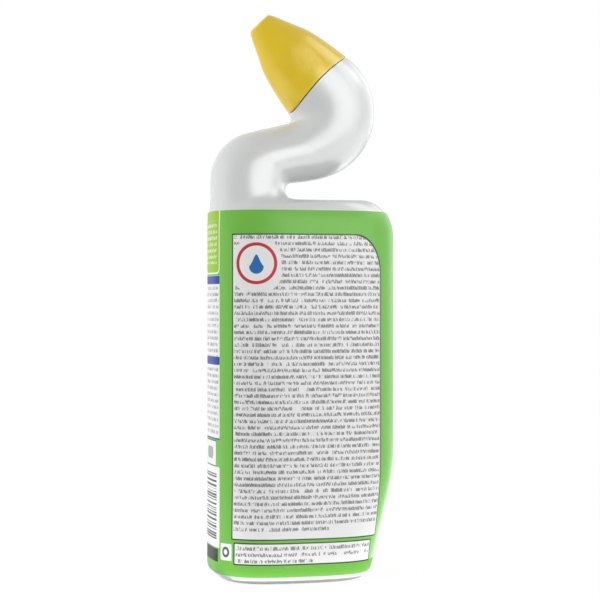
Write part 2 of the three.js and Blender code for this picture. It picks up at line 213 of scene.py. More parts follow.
# %% [markdown]
# A blown bottle can't stand on a flat base, which would bulge as it cools. Its base is pushed up into
# a shallow dome, and it stands on a narrow ring.

# %% Rings of the base and the wall
DOME_EDGE = (0.8, 0.4)
FOOT_FLAT = 0.5
HEEL_TURN = 56  # degrees of the heel's curve that lie below the sleeve
HEEL_RINGS = 10
SLEEVED_HEEL_RINGS = 5
WALL_RINGS = 84


def base_rings():
    """The base from its middle outwards: the dome, the flat foot and the heel's curve."""
    foot_inset = HEEL_RADIUS + FOOT_WIDTH
    steps = [  # how far in from the wall, and how high
        (foot_inset + 3 * PUSH_UP, PUSH_UP),
        (foot_inset + PUSH_UP, PUSH_UP * 0.75),
        (foot_inset + DOME_EDGE[0], DOME_EDGE[1]),
        (foot_inset, 0.0),
        (foot_inset - FOOT_FLAT, 0.0),
    ]
    for turn in np.radians(np.linspace(0, HEEL_TURN, HEEL_RINGS)):
        steps.append((HEEL_RADIUS * (1 - math.sin(turn)), HEEL_RADIUS * (1 - math.cos(turn))))
    rings = []
    for inset, height in steps:
        ring = body_ring(HEEL_RADIUS, inset)
        ring[:, 2] = height
        rings.append(ring)
    return rings


def wall_rings():
    """The wall under the sleeve, from the top of the heel to the foot of the neck."""
    heel = np.linspace(SLEEVE_BOTTOM, HEEL_RADIUS, SLEEVED_HEEL_RINGS)[:-1]
    wall = np.linspace(HEEL_RADIUS, SLEEVE_TOP, WALL_RINGS)
    return [body_ring(height) for height in (*heel, *wall)]


print("rings of base and wall:", len(base_rings() + wall_rings()))

# %% [markdown]
# The swan neck lets the gel be squirted up under a toilet bowl's rim. It could be a tube swept along
# one curve, but its inner bends are tight while its outer ones are wide, and it is flat at its foot
# and round at its mouth. So it runs between two rails, one along each side, and each ring lies
# across from one to the other.

# %% Helpers for rails
RAIL_POINTS = 60


def arc(middle, radii, start, end):
    """Points of an arc about a middle, between two angles in degrees."""
    turns = np.radians(np.linspace(start, end, RAIL_POINTS))
    return np.stack([middle[0] + radii[0] * np.cos(turns), middle[1] + radii[1] * np.sin(turns)], axis=1)


def curve(*controls):
    """Bezier curve through three or four control points."""
    t = np.linspace(0, 1, RAIL_POINTS)[:, None]
    row = [np.asarray(control) + 0 * t for control in controls]
    while len(row) > 1:
        row = [a + (b - a) * t for a, b in zip(row, row[1:])]
    return row[0]


def along(rail, share):
    """The point at a share of the rail's length."""
    rail = np.asarray(rail)
    steps = np.linalg.norm(np.diff(rail, axis=0), axis=1)
    place = np.concatenate([[0], np.cumsum(steps)]) / steps.sum()
    return np.array([np.interp(share, place, rail[:, 0]), np.interp(share, place, rail[:, 1])])


# %% [markdown]
# The neck ends at the cap, which leans over by 45 degrees. Everything there is round about the cap's
# own axis, so it gets its own three directions. On the two broad sides the cap's rim arches up, and
# the seat on the neck arches with it.

# %% The cap's own frame
CAP_REACH = 51.4  # from the body's left edge to the middle of the cap's rim
CAP_RISE = 55.2  # from the shoulder up to it
CAP_RADIUS = 19.2
RIM_OVERHANG = 0.1
RIM_ARCH = 3.3
RIM_RADIUS = CAP_RADIUS - RIM_OVERHANG
CAP_BASE = np.array([BODY_LEFT + CAP_REACH, 0.0, SHOULDER_HEIGHT + CAP_RISE])
CAP_AXIS = np.array([-math.sqrt(0.5), 0, math.sqrt(0.5)])
CAP_ACROSS = np.array([math.sqrt(0.5), 0, math.sqrt(0.5)])
CAP_SIDE = np.array([0.0, 1.0, 0.0])
ARCH = RIM_ARCH * np.sin(ANGLES) ** 2


def axis_ring(radius, station):
    """Round ring about the cap's axis; radius and station may change with the angle."""
    radius = np.broadcast_to(radius, AROUND)[:, None]
    station = np.broadcast_to(station, AROUND)[:, None]
    out = np.cos(ANGLES)[:, None] * CAP_ACROSS + np.sin(ANGLES)[:, None] * CAP_SIDE
    return CAP_BASE + CAP_AXIS * station + out * radius


print("middle of the cap's rim:", CAP_BASE.round(1), "mm")

# %% Sizes of the neck
NECK_WIDTH = 34.6
NECK_HALF_DEPTH = 18.0
NECK_FOOT_DROP = 1.5
CROTCH_RADIUS = 4.2  # the tight bend where the neck leaves the shoulder
CROTCH_END = 100.0  # ends of arcs are angles in degrees
CROTCH_HALF_DEPTH = 19.0
FIRST_BEND_RADIUS = 22.6
FIRST_BEND_RISE = 9.8
FIRST_BEND_SPLIT = 134.0
FIRST_BEND_END = 104.0
RUN_SPLIT = 0.75  # the run is the nearly level stretch between the two bends
UNDERSIDE_SHARE = 0.7
UNDERSIDE_SAG = 1.2
ELBOW_REACH = 47.0
ELBOW_RISE = 42.3
ELBOW_START = -72.0
CORNER_TUCK = 1.8  # the corner is the notch under the cap's left end
CORNER_GAP = 5.3
CORNER_SWEEP = 3.0
CORNER_LOW = 0.8
CORNER_HIGH = 2.0
SHOULDER_SQUARENESS = 2.4
CROTCH_SQUARENESS = 2.1

# %% The rails of the neck
bend_middle = (BODY_LEFT + FIRST_BEND_RADIUS, SHOULDER_HEIGHT + FIRST_BEND_RISE)
crotch_middle = (BODY_LEFT + NECK_WIDTH + CROTCH_RADIUS, SHOULDER_HEIGHT + CROTCH_RADIUS)
elbow_middle = (BODY_LEFT + ELBOW_REACH, SHOULDER_HEIGHT + ELBOW_RISE)
cap_left = (CAP_BASE - RIM_RADIUS * CAP_ACROSS)[[0, 2]]
cap_right = (CAP_BASE + RIM_RADIUS * CAP_ACROSS)[[0, 2]]
elbow_radius = math.dist(cap_right, elbow_middle)
elbow_end = math.degrees(math.atan2(cap_right[1] - elbow_middle[1], cap_right[0] - elbow_middle[0]))
level_turn = math.degrees(math.asin((SLEEVE_TOP - CORNER_Z) / SHOULDER_CORNER_HEIGHT))
neck_foot = SHOULDER_HEIGHT - NECK_FOOT_DROP
run_end = cap_left - (CORNER_TUCK, CORNER_GAP)
under_rim = (run_end + (CORNER_SWEEP, CORNER_LOW), run_end + (CORNER_SWEEP, CORNER_HIGH))
bend = arc(bend_middle, (FIRST_BEND_RADIUS,) * 2, 180, FIRST_BEND_SPLIT)
bend_on = arc(bend_middle, (FIRST_BEND_RADIUS,) * 2, FIRST_BEND_SPLIT, FIRST_BEND_END)
run_split = blend(bend_on[-1], run_end, RUN_SPLIT)
corner = arc((CORNER_X, CORNER_Z), (SHOULDER_CORNER_WIDTH, SHOULDER_CORNER_HEIGHT), level_turn, 90)
crotch = arc(crotch_middle, (CROTCH_RADIUS,) * 2, 270, CROTCH_END)
elbow = arc(elbow_middle, (elbow_radius,) * 2, ELBOW_START, elbow_end)
underside = blend(crotch[-1], elbow[0], UNDERSIDE_SHARE) - (0, UNDERSIDE_SAG)
print("elbow radius", round(elbow_radius, 1), "mm")

# %% [markdown]
# The rails are cut into four spans that match, and in each the section's depth and squareness change
# evenly. Only the fold where the shoulder turns up into the neck needs more: a few rounds of
# averaging ease it.

# %% The spans of the neck
SPANS = [
    # rings, left rail, right rail, half depth from and to, squareness from and to
    (30, [(BODY_LEFT, SLEEVE_TOP), (BODY_LEFT, neck_foot)],
     np.vstack([corner, [(crotch_middle[0], SHOULDER_HEIGHT)]]),
     (body_half_depth(SLEEVE_TOP), SHOULDER_HALF_DEPTH), (BODY_SQUARENESS, SHOULDER_SQUARENESS)),
    (28, np.vstack([[(BODY_LEFT, neck_foot)], bend]), crotch,
     (SHOULDER_HALF_DEPTH, CROTCH_HALF_DEPTH), (SHOULDER_SQUARENESS, CROTCH_SQUARENESS)),
    (20, np.vstack([bend_on, [run_split]]), curve(crotch[-1], underside, elbow[0]),
     (CROTCH_HALF_DEPTH, NECK_HALF_DEPTH), (CROTCH_SQUARENESS, 2.0)),
    (48, np.vstack([[run_split], curve(run_end, *under_rim, cap_left)]), elbow,
     (NECK_HALF_DEPTH, RIM_RADIUS), (2.0, 2.0)),
]
BOWED_RINGS = 16


def filleted(rings, at, reach=12, passes=24):
    """Rounds off the fold at one ring on the broad sides, but not at the two rails."""
    sides = (np.sin(ANGLES) ** 2)[None, :, None]
    near = np.arange(at - reach, at + reach + 1)
    ease = (np.cos((near - at) / reach * math.pi / 2) ** 2)[:, None, None]
    for _ in range(passes):
        pull = (rings[near - 1] + rings[near + 1]) / 2 - rings[near]
        rings[near] += pull * ease * sides
    return list(rings)


def neck_rings():
    """Rings of every span, the last ones bowed to meet the cap's arched rim."""
    rings = []
    for count, left, right, depth, square in SPANS:
        for step in range(1, count + 1):
            share = step / count
            ends = along(left, share), along(right, share)
            rings.append(section(*ends, blend(*depth, share), blend(*square, share)))
    for j in range(-BOWED_RINGS, 0):
        share = (j + 1 + BOWED_RINGS) / BOWED_RINGS
        rings[j] = rings[j] + (ARCH * share**2 - GAP * share)[:, None] * CAP_AXIS
    return filleted(np.array(rings), SPANS[0][0] - 1)


# %% [markdown]
# Under the cap the wall steps in over a ledge and rises as the threaded mouth, all one moulding. The
# thread could be a strip swept along a helix and joined on, but letting each ring's radius swell
# where the helix passes keeps the wall one closed skin. It fades out at both ends.

# %% The screw thread
FINISH_RADIUS = 12.5  # bottle makers call the threaded mouth the finish
FINISH_HEIGHT = 16.0
THREAD_HEIGHT = 1.1
THREAD_PITCH = 4.5
THREAD_TURNS = 1.6
THREAD_START = 3.6
THREAD_FLANK = 0.9
THREAD_CREST = 1.5  # share of the flank, above 1 makes the crest flat
THREAD_MARGIN = 1.6
THREAD_RUN_OUT = 0.08  # in turns
FINISH_RINGS = 44


def thread_swell(station, start, turns):
    """How much of the thread's height stands at this station, for every angle."""
    swell = np.zeros(AROUND)
    for lap in range(math.ceil(turns)):
        turned_by = ANGLES / (2 * math.pi) + lap
        away = np.abs(station - start - turned_by * THREAD_PITCH)
        run_out = np.clip(np.minimum(turned_by, turns - turned_by) / THREAD_RUN_OUT, 0, 1)
        swell = np.maximum(swell, run_out * np.clip(THREAD_CREST - away / THREAD_FLANK, 0, 1))
    return swell


print("the thread rises", THREAD_PITCH * THREAD_TURNS, "mm")

# %% Rings of the threaded mouth
BORE_RADIUS = 10.5
LIP_EDGE = 0.4
LEDGE_SHARE = 0.4
LEDGE_WALL = 1.5


def finish_rings():
    """Outside of the mouth, from the ledge over the thread to the lip."""
    ledge = axis_ring(blend(FINISH_RADIUS, RIM_RADIUS, LEDGE_SHARE), LEDGE_SHARE * ARCH - GAP)
    rings = [ledge, axis_ring(FINISH_RADIUS, -GAP)]
    first = THREAD_START - THREAD_MARGIN
    last = THREAD_START + THREAD_PITCH * THREAD_TURNS + THREAD_MARGIN
    for station in np.linspace(first, last, FINISH_RINGS):
        swell = thread_swell(station, THREAD_START, THREAD_TURNS)
        rings.append(axis_ring(FINISH_RADIUS + THREAD_HEIGHT * swell, station))
    rings.append(axis_ring(FINISH_RADIUS, FINISH_HEIGHT - LIP_EDGE))
    rings.append(axis_ring(FINISH_RADIUS - LIP_EDGE, FINISH_HEIGHT))
    return rings


def bore_rings():
    """Inside of the mouth, from the lip down to the underside of the ledge."""
    under = -GAP - LEDGE_WALL
    return [
        axis_ring(BORE_RADIUS, FINISH_HEIGHT),
        axis_ring(BORE_RADIUS, 0),
        axis_ring(FINISH_RADIUS, under),
        axis_ring(RIM_RADIUS - LEDGE_WALL, ARCH + under),
    ]


# %% [markdown]
# The bottle is one closed skin: up the outside, over the lip, down the bore, and back down the inside
# of the wall. The inside is the outside moved in along its normals by the wall. Its last rings are
# left out, because the ledge's underside takes their place.

# %% The bottle
RINGS_AT_LEDGE = 4
skin_rings = np.array(base_rings() + wall_rings() + neck_rings())
inside_rings = moved_out(skin_rings, -WALL)[:-RINGS_AT_LEDGE][::-1]
bottle = skin("bottle_shell", [*skin_rings, *finish_rings(), *bore_rings(), *inside_rings])
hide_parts("bottle")
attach(bottle, "bottle")

# %% [markdown]
# The sleeve is a film shrunk on the body by heat. Real film is far thinner, but it is drawn as thick
# as the engineering model has it. It is the wall's own rings moved out, once for each face, and
# trimmed level at both edges.

# %% The sleeve
FILM = 0.3
covered = np.array(wall_rings())
film_out = moved_out(covered, GAP + FILM)
film_in = moved_out(covered, GAP)
for face_rings in (film_out, film_in):
    face_rings[0, :, 2] = SLEEVE_BOTTOM
    face_rings[-1, :, 2] = SLEEVE_TOP
film_rings = [*film_out, *film_in[::-1]]
sleeve = skin("printed_sleeve", film_rings, looped=True)
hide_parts("sleeve")
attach(sleeve, "bottle")

# %% [markdown]
# A sleeve is printed flat and then shrunk on, so its print is drawn on a flat map. The map's first
# number is the distance round the film from the middle of the broad face, the second is the height,
# both in millimetres. An unwrap by Blender would stretch.

# %% The sleeve's flat map
FRONT = 3 * AROUND // 4  # the point of each ring at the middle of the broad face
SIDE = AROUND // 2  # and at the middle of the left narrow side
STRAIGHT_RING = 40
paths = []
for ring in film_rings:
    steps = np.linalg.norm(np.roll(ring, -1, axis=0) - ring, axis=1)
    path = np.concatenate([[0], np.cumsum(steps)])
    paths.append(path - path[SIDE])
QUARTER = paths[STRAIGHT_RING][FRONT]
flat_map = sleeve.data.uv_layers.new(name="label")
for face in sleeve.data.polygons:
    column = face.index % AROUND
    for k in face.loop_indices:
        vertex = sleeve.data.loops[k].vertex_index
        ring, i = divmod(vertex, AROUND)
        i = AROUND if column == AROUND - 1 and i == 0 else i
        flat_map.data[k].uv = (paths[ring][i] - QUARTER, sleeve.data.vertices[vertex].co.z / MM)
print("a quarter of the way round:", round(QUARTER, 1), "mm")

# %% [markdown]
# The cap is one moulding: a cone with a gentle shoulder, a flat end, and a rim that arches up on the
# two broad sides. Its outline is a smooth curve through a few measured points, written as shares of
# its radius and length.

# %% The cap's outline
CAP_LENGTH = 40.4
ARCH_LEVEL = 12.0  # the rim's arch has died out this far up the cap
CAP_OUTLINE = [
    (1.0, 0.0), (0.912, 0.2475), (0.768, 0.53), (0.572, 0.7426), (0.432, 0.891), (0.345, 0.976),
]


def catmull(points, steps=16):
    """Smooth curve through every point."""
    points = np.array(points)
    padded = np.vstack([2 * points[0] - points[1], points, 2 * points[-1] - points[-2]])
    out = []
    for a, b, c, d in zip(padded, padded[1:], padded[2:], padded[3:]):
        for t in np.linspace(0, 1, steps, endpoint=False):
            out.append(0.5 * (2 * b + (c - a) * t + (2 * a - 5 * b + 4 * c - d) * t**2
                              + (3 * b - a - 3 * c + d) * t**3))
    return np.array(out + [points[-1]])


cap_outline = catmull(CAP_OUTLINE) * (CAP_RADIUS, CAP_LENGTH)


def cap_radius(station):
    return np.interp(station, cap_outline[:, 1], cap_outline[:, 0])


def cap_ring(station, wall):
    """A ring of the cap's shell, arched at the rim and level above the arch."""
    stations = station + ARCH * max(0.0, 1 - station / ARCH_LEVEL)
    return axis_ring(cap_radius(stations) - wall, stations)


# %% [markdown]
# The shell's outside runs from the rim's eased lip to the flat end. The end's edge is rounded by a
# curve that starts along the cone and lands on the flat, so it never stands outside the cone.

# %% The cap's outside
RIM_LIFT = 0.2  # the rim stands this far off its seat, and the gap shows as a dark line
LIP_STEPS = [(0.0, 0.25), (0.12, 0.06)]  # up from the rim, and in from the wall
LIP_END = 0.35
SHELL_RINGS = 64
CAP_EDGE = 1.3
TIP_ROUNDING = 1.5
TIP_STEP = 6
outer = [cap_ring(RIM_LIFT + up, inset) for up, inset in LIP_STEPS]
round_start = cap_outline[-1, 1] - TIP_ROUNDING
outer += [cap_ring(station, 0) for station in np.linspace(RIM_LIFT + LIP_END, round_start, SHELL_RINGS)]
tip_radius = cap_outline[-1, 0] - CAP_EDGE
tip_slope = cap_outline[-1] - cap_outline[-2]
tip_corner = cap_outline[-1] + tip_slope * (CAP_LENGTH - cap_outline[-1, 1]) / tip_slope[1]
tip_edge = curve((cap_radius(round_start), round_start), tip_corner, (tip_radius, CAP_LENGTH))
end = [axis_ring(radius, station) for radius, station in tip_edge[TIP_STEP::TIP_STEP]]
end += [axis_ring(tip_radius * share, CAP_LENGTH) for share in (1.0, 0.6, 0.3)]
print("radius of the flat end:", round(float(tip_radius), 1), "mm")

# %% [markdown]
# Inside the cap a shorter skirt carries the thread, and a ring-shaped hollow lies between skirt and
# shell. When the sides are squeezed, the shell bends into that hollow. Skirt, hollow and shell are
# one skin again, and the skirt's thread is the neck's, half a turn on, cut inwards.

# %% The cap's inside
CAP_WALL = 1.3
CAP_END_WALL = 1.6
SKIRT_WALL = 1.2
SKIRT_START = 4.0
SKIRT_END = 15.5
SKIRT_ROOF = 3.0
SKIRT_RINGS = 46
skirt_inner = FINISH_RADIUS + THREAD_HEIGHT + GAP
skirt_outer = skirt_inner + SKIRT_WALL
inner = [cap_ring(station, CAP_WALL) for station in np.linspace(RIM_LIFT, ARCH_LEVEL, 5)]
groove = axis_ring((skirt_outer + cap_radius(SKIRT_END) - CAP_WALL) / 2, SKIRT_END)
skirt = [axis_ring(skirt_outer, SKIRT_END - SKIRT_WALL / 2), axis_ring(skirt_outer, SKIRT_START)]
for station in np.linspace(SKIRT_START, SKIRT_END, SKIRT_RINGS):
    swell = thread_swell(station, THREAD_START + THREAD_PITCH / 2, THREAD_TURNS)
    skirt.append(axis_ring(skirt_inner - (THREAD_HEIGHT - GAP) * swell, station))
skirt.append(axis_ring(skirt_inner, SKIRT_END + SKIRT_ROOF))
cavity_stations = np.linspace(SKIRT_END + 2 * SKIRT_ROOF, CAP_LENGTH - CAP_END_WALL, 10)
cavity = [axis_ring(cap_radius(station) - CAP_WALL, station) for station in cavity_stations]
print("skirt:", round(2 * skirt_inner, 1), "mm inside")

# %% The cap
cap = skin("screw_cap", [*cavity[::-1], *skirt[::-1], groove, *inner[::-1], *outer, *end])
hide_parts("cap")
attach(cap, "cap")

# %% [markdown]
# The insert in the mouth is a turned shape: a barrel that grips the bore, a flange that stops on
# the lip, and a snout with a small hole that makes the gel come out as a jet. Blender's lathe, the
# Screw modifier, would do, and so do the rings used above, from a profile of radius and station.
# Steps of a few tenths are eased edges.

# %% The nozzle insert
NOZZLE_WALL = 1.2
NOZZLE_DEPTH = 12.0
FLANGE_THICKNESS = 1.2
SNOUT_ROOT_RADIUS = 8.0
SNOUT_TIP_RADIUS = 3.5
SNOUT_HOLE_DEPTH = 3.0
BARREL_ROOT = 2.0
SEAL_THICKNESS = 1.5
seal_end = CAP_LENGTH - CAP_END_WALL - GAP
seal_start = seal_end - SEAL_THICKNESS
snout_end = seal_start - GAP
barrel = BORE_RADIUS - GAP
seat = FINISH_HEIGHT + GAP
top = seat + FLANGE_THICKNESS
snout_hole = SNOUT_TIP_RADIUS - NOZZLE_WALL
nozzle_profile = [
    (barrel - NOZZLE_WALL, seat - NOZZLE_DEPTH), (barrel - 0.4, seat - NOZZLE_DEPTH),
    (barrel, seat - NOZZLE_DEPTH + 0.6), (barrel, seat), (FINISH_RADIUS - 0.3, seat),
    (FINISH_RADIUS - 0.1, seat + 0.2), (FINISH_RADIUS - 0.1, top - 0.3), (FINISH_RADIUS - 0.4, top),
    (SNOUT_ROOT_RADIUS + 0.6, top), (SNOUT_ROOT_RADIUS, top + 0.6), (SNOUT_TIP_RADIUS, snout_end - 1),
    (SNOUT_TIP_RADIUS - 0.15, snout_end - 0.4), (SNOUT_TIP_RADIUS - 0.5, snout_end),
    (snout_hole, snout_end), (snout_hole, snout_end - SNOUT_HOLE_DEPTH),
    (SNOUT_ROOT_RADIUS - NOZZLE_WALL, seat), (barrel - NOZZLE_WALL, seat - BARREL_ROOT),
]
nozzle = skin("nozzle_insert", [axis_ring(*step) for step in nozzle_profile], looped=True)
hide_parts("nozzle")
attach(nozzle, "bottle")

# %% [markdown]
# A loose disc of foam in the cap's end presses on the snout and keeps the bottle tight. It is a flat
# turned piece with slightly eased edges, and it rides with the cap's lift without turning.

# %% The sealing disc
SEAL_RADIUS = 5.5
SEAL_EDGE = 0.15
SEAL_CORE = 0.5
seal_profile = [
    (SEAL_CORE, seal_start), (SEAL_RADIUS - SEAL_EDGE, seal_start), (SEAL_RADIUS, seal_start + SEAL_EDGE),
    (SEAL_RADIUS, seal_end - SEAL_EDGE), (SEAL_RADIUS - SEAL_EDGE, seal_end), (SEAL_CORE, seal_end),
]
seal = skin("cap_seal_disc", [axis_ring(*step) for step in seal_profile])
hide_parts("cap_seal")
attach(seal, "seal")

# %% [markdown]
# The gel fills the inside of the wall up to its level. A boolean could cut it out of the bottle, but
# it is simpler to loft it from the bottle's rings, moved in, up to a few rings past its level, and
# to cut it flat there. The cut leaves a hole, which one face closes.

# %% The gel
FILL_RISE = 17.7
FILL_HEIGHT = SHOULDER_HEIGHT + FILL_RISE
RINGS_PAST_LEVEL = 4
gel_skin = moved_out(skin_rings, -WALL - GAP)
rings_below = sum(bool(ring[:, 2].min() < FILL_HEIGHT) for ring in gel_skin)
gel = skin("gel_contents", gel_skin[:rings_below + RINGS_PAST_LEVEL])
cut = bmesh.new()
cut.from_mesh(gel.data)
everything = cut.verts[:] + cut.edges[:] + cut.faces[:]
level = Vector((0, 0, FILL_HEIGHT * MM))
cut_line = bmesh.ops.bisect_plane(cut, geom=everything, plane_co=level, plane_no=(0, 0, 1), clear_outer=True)
edges = [part for part in cut_line["geom_cut"] if isinstance(part, bmesh.types.BMEdge)]
bmesh.ops.contextual_create(cut, geom=edges)
cut.to_mesh(gel.data)
cut.free()
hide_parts("gel")
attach(gel, "bottle")
print("gel level at", FILL_HEIGHT, "mm")

# %% [markdown]
# Finishes come next. The hex colours of a paint card are sRGB, and a renderer needs linear numbers,
# so one helper turns them. No real surface is one flat colour, so another lets the colour drift
# between two close ones.

# %% Helpers for finishes
def linear(hex_colour):
    """Linear RGBA of an sRGB hex colour."""
    parts = [int(hex_colour[i:i + 2], 16) / 255 for i in (1, 3, 5)]
    return [p / 12.92 if p <= 0.04045 else ((p + 0.055) / 1.055) ** 2.4 for p in parts] + [1.0]


def add(tree, kind, inputs=None, operation=None, out=0, **settings):
    """Adds a shader node, sets it up, fills or links its inputs, and returns one of its outputs."""
    made = tree.nodes.new("ShaderNode" + kind)
    if operation:
        made.operation = operation
    for name, value in settings.items():
        setattr(made, name, value)
    for name, value in (inputs or {}).items():
        if isinstance(value, bpy.types.NodeSocket):
            tree.links.new(value, made.inputs[name])
        else:
            made.inputs[name].default_value = value
    return made if out is None else made.outputs[out]


def finish(name, **sockets):
    """A material, its nodes, its Principled shader with sockets set by name, and places on it."""
    material = bpy.data.materials.new(name)
    material.use_nodes = True
    shader = material.node_tree.nodes["Principled BSDF"]
    for socket, value in sockets.items():
        shader.inputs[socket.replace("_", " ")].default_value = value
    place = add(material.node_tree, "TexCoord", out="Object")
    return material, material.node_tree, shader, place


def drifting(tree, shader, pattern, low, high):
    """Lets the base colour drift between two hex colours, as a pattern from 0 to 1 says."""
    tone = add(tree, "Mix", {0: pattern, 6: linear(low), 7: linear(high)}, out=2, data_type="RGBA")
    tree.links.new(tone, shader.inputs["Base Color"])


def cloud(tree, place, patch):
    """Soft noise in patches of a size in millimetres."""
    return add(tree, "TexNoise", {"Vector": place, "Scale": 1 / (patch * MM), "Detail": 2.0}, out="Fac")


def background(tree):
    """1 for the rays that see the background: straight, mirrored or through something clear."""
    seen = 0.0
    for ray in ("Is Camera Ray", "Is Glossy Ray", "Is Transmission Ray"):
        seen = add(tree, "Math", {0: seen, 1: add(tree, "LightPath", out=ray)}, "MAXIMUM")
    return seen


def dress(piece, material):
    piece.data.materials.clear()
    piece.data.materials.append(material)
    print(piece.name, "wears", material.name)


# %% [markdown]
# Blow-moulded polyethylene is white, satin and very slightly see-through: light sinks in a
# millimetre or so, which softens its shadows. The mould leaves a faint orange peel, and a fine
# parting line on the narrow sides, where its two halves met. Polyethylene's IOR is 1.54, and the
# roughness is a satin plastic's, matched to how soft the lamps' edges look on the neck.

# %% Blow-moulded polyethylene
PEEL_SIZE = 1.4 * MM
PEEL_DEPTH = 0.2 * MM
LINE_HEIGHT = 0.06 * MM
LINE_CORE, LINE_EDGE = 0.05 * MM, 0.3 * MM
polyethylene, tree, shader, place = finish("blow_moulded_polyethylene", Roughness=0.26, IOR=1.54,
                                           Subsurface_Weight=0.12, Subsurface_Scale=0.0015)
shader.inputs["Subsurface Radius"].default_value = (1.0, 1.0, 1.0)
drifting(tree, shader, cloud(tree, place, 30), "#d6d8d7", "#dbdddc")
peel = add(tree, "TexNoise", {"Vector": place, "Scale": 1 / PEEL_SIZE, "Detail": 1.0})
peel_bump = add(tree, "Bump", {"Height": peel, "Strength": 0.05, "Distance": PEEL_DEPTH})
sideways = add(tree, "SeparateXYZ", {"Vector": place}, out="Y")
off_line = add(tree, "Math", {0: sideways}, "ABSOLUTE")
line = add(tree, "MapRange", {"Value": off_line, 1: LINE_EDGE, 2: LINE_CORE})
line_bump = add(tree, "Bump", {"Height": line, "Strength": 0.5, "Distance": LINE_HEIGHT,
                               "Normal": peel_bump})
tree.links.new(line_bump, shader.inputs["Normal"])
dress(bottle, polyethylene)

# %% [markdown]
# The cap is injection-moulded polypropylene, yellow right through, with an IOR of 1.49 and a satin
# face from the mould's own. The two broad sides, where it is squeezed, carry a round patch of fine
# dots for the fingers. Each dot is where two sine waves peak together. The real dots are too fine
# to show at this size, so they are drawn about a millimetre apart.

# %% Moulded polypropylene
GRIP_PITCH = 0.95 * MM
GRIP_DEPTH = 0.1 * MM
GRIP_MIDDLE = (0.0, 15.5 * MM, 0.0)
GRIP_SHAPE = (1.0, 0.85, 0.0)
GRIP_FADE = (5.5 * MM, 8.5 * MM)
yellow, tree, shader, place = finish("moulded_yellow_polypropylene", Roughness=0.30, IOR=1.49,
                                     Subsurface_Weight=0.06, Subsurface_Scale=0.001)
drifting(tree, shader, cloud(tree, place, 12), "#e4c208", "#e8c70c")
from_base = add(tree, "VectorMath", {0: place, 1: CAP_BASE * MM}, "SUBTRACT")
station = add(tree, "VectorMath", {0: from_base, 1: CAP_AXIS}, "DOT_PRODUCT", out="Value")
across = add(tree, "VectorMath", {0: from_base, 1: CAP_ACROSS}, "DOT_PRODUCT", out="Value")
pad = add(tree, "CombineXYZ", {"X": across, "Y": station})
grid = add(tree, "VectorMath", {0: pad, "Scale": 2 * math.pi / GRIP_PITCH}, "SCALE")
waves = add(tree, "VectorMath", {0: grid}, "SINE")
wave = add(tree, "SeparateXYZ", {"Vector": waves}, out=None).outputs
dots = add(tree, "Math", {0: wave["X"], 1: wave["Y"]}, "MULTIPLY")

# %% The patch of dots
from_patch = add(tree, "VectorMath", {0: pad, 1: GRIP_MIDDLE}, "SUBTRACT")
patch_shape = add(tree, "VectorMath", {0: from_patch, 1: GRIP_SHAPE}, "MULTIPLY")
off_patch = add(tree, "VectorMath", {0: patch_shape}, "LENGTH", out="Value")
in_patch = add(tree, "MapRange", {"Value": off_patch, 1: GRIP_FADE[1], 2: GRIP_FADE[0]})
grip = add(tree, "Math", {0: dots, 1: in_patch}, "MULTIPLY")
grip_bump = add(tree, "Bump", {"Height": grip, "Strength": 0.5, "Distance": GRIP_DEPTH})
tree.links.new(grip_bump, shader.inputs["Normal"])
dress(cap, yellow)

# %% [markdown]
# The sleeve is clear film printed on its inner face, so the ink lies under a smooth skin. Its print
# could be an image, but fields drawn by the shader stay crisp at any size and can be changed. Each
# is a mask over the flat map: how far a point lies outside a box, less a corner's radius, gives a
# field with round corners. The film's shine is held low, to match how matt its broad face looks.

# %% Helpers for the print
SOFT_EDGE = 0.12  # half the width, in mm, over which a printed edge fades
film_print, film, film_shader, film_place = finish("printed_shrink_film", Roughness=0.36, IOR=1.53,
                                                   Specular_IOR_Level=0.13)
label = add(film, "UVMap", uv_map="label")
ROUND, HEIGHT, _ = add(film, "SeparateXYZ", {"Vector": label}, out=None).outputs


def field(low, high, corner=0.8, squeeze=1.0):
    """1 inside a box with round corners, between two points of the flat map."""
    middle = ((low[0] + high[0]) / 2, (low[1] + high[1]) / 2, 0)
    half = ((high[0] - low[0]) / 2 - corner, (high[1] - low[1]) / 2 * squeeze - corner, 0)
    away = add(film, "VectorMath", {0: label, 1: middle}, "SUBTRACT")
    away = add(film, "VectorMath", {0: away, 1: (1, squeeze, 0)}, "MULTIPLY")
    away = add(film, "VectorMath", {0: away}, "ABSOLUTE")
    away = add(film, "VectorMath", {0: away, 1: half}, "SUBTRACT")
    away = add(film, "VectorMath", {0: away, 1: (0, 0, 0)}, "MAXIMUM")
    away = add(film, "VectorMath", {0: away}, "LENGTH", out="Value")
    return add(film, "MapRange", {"Value": away, 1: corner + SOFT_EDGE, 2: corner - SOFT_EDGE})


def inset(low, high, by):
    """The corners of a box drawn in on all four sides."""
    return (low[0] + by, low[1] + by), (high[0] - by, high[1] - by)


def disc(middle, radius):
    """A round field, which is a box that is all corner."""
    return field(*inset(middle, middle, -radius), radius - 0.01)


def both(first, second):
    """Where two masks overlap."""
    return add(film, "Math", {0: first, 1: second}, "MULTIPLY")


def either(first, second):
    """Where at least one of two masks is."""
    return add(film, "Math", {0: first, 1: second}, "MAXIMUM")


def painted(under, colour, mask):
    """The hex colour laid over what is under it, where the mask is 1."""
    return add(film, "Mix", {0: mask, 6: under, 7: linear(colour)}, data_type="RGBA", out=2)


# %% [markdown]
# The panels are filled with rows of small upright strokes, which mean nothing. Each stroke is a spot
# of noise stretched to a width and a height, with a shift from row to row so that no two rows are
# alike. Coarser noise gathers the strokes in clusters, makes some of them taller and a few darker.

# %% Noise in the shape of strokes
ONE_ROW = 500  # so tall in mm that the noise is the same all through a row
